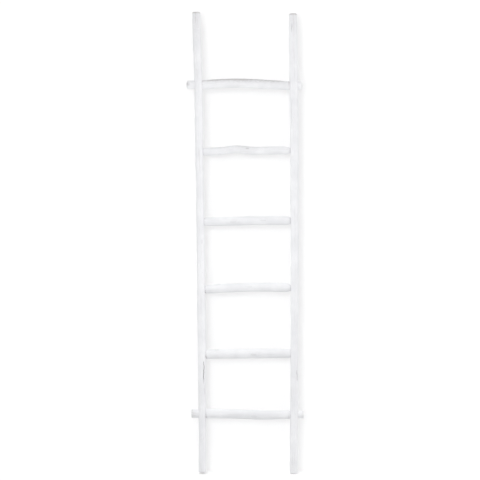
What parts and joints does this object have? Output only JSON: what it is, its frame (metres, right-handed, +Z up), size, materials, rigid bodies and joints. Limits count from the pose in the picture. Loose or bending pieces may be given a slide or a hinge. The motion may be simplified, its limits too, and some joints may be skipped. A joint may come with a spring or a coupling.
{
  "type": "blanket ladder",
  "caption": "Rustic quilt rack in ladder form: two slim pole rails joined by whittled branch rungs, whitewashed, to lean on a wall.",
  "frame": {"origin": "on the floor, below the middle of the ladder's box", "axes": "+Z up along the ladder, +X to the right as seen from the front, +Y towards the wall that it leans on"},
  "size_m": [0.456, 0.053, 1.8],
  "materials": {
    "rail_wood": "whitewashed, matt, worn",
    "rung_wood": "whitewashed, matt, worn",
    "nail_steel": "plain wire nail, limed over"
  },
  "bodies": {
    "root": {"left_rail": "rail_wood", "right_rail": "rail_wood", "bottom_rung": "rung_wood", "second_rung": "rung_wood", "third_rung": "rung_wood", "fourth_rung": "rung_wood", "fifth_rung": "rung_wood", "top_rung": "rung_wood", "bottom_rung_left_nail": "nail_steel", "bottom_rung_right_nail": "nail_steel", "second_rung_left_nail": "nail_steel", "second_rung_right_nail": "nail_steel", "third_rung_left_nail": "nail_steel", "third_rung_right_nail": "nail_steel", "fourth_rung_left_nail": "nail_steel", "fourth_rung_right_nail": "nail_steel", "fifth_rung_left_nail": "nail_steel", "fifth_rung_right_nail": "nail_steel", "top_rung_left_nail": "nail_steel", "top_rung_right_nail": "nail_steel"}
  },
  "joints": []
}
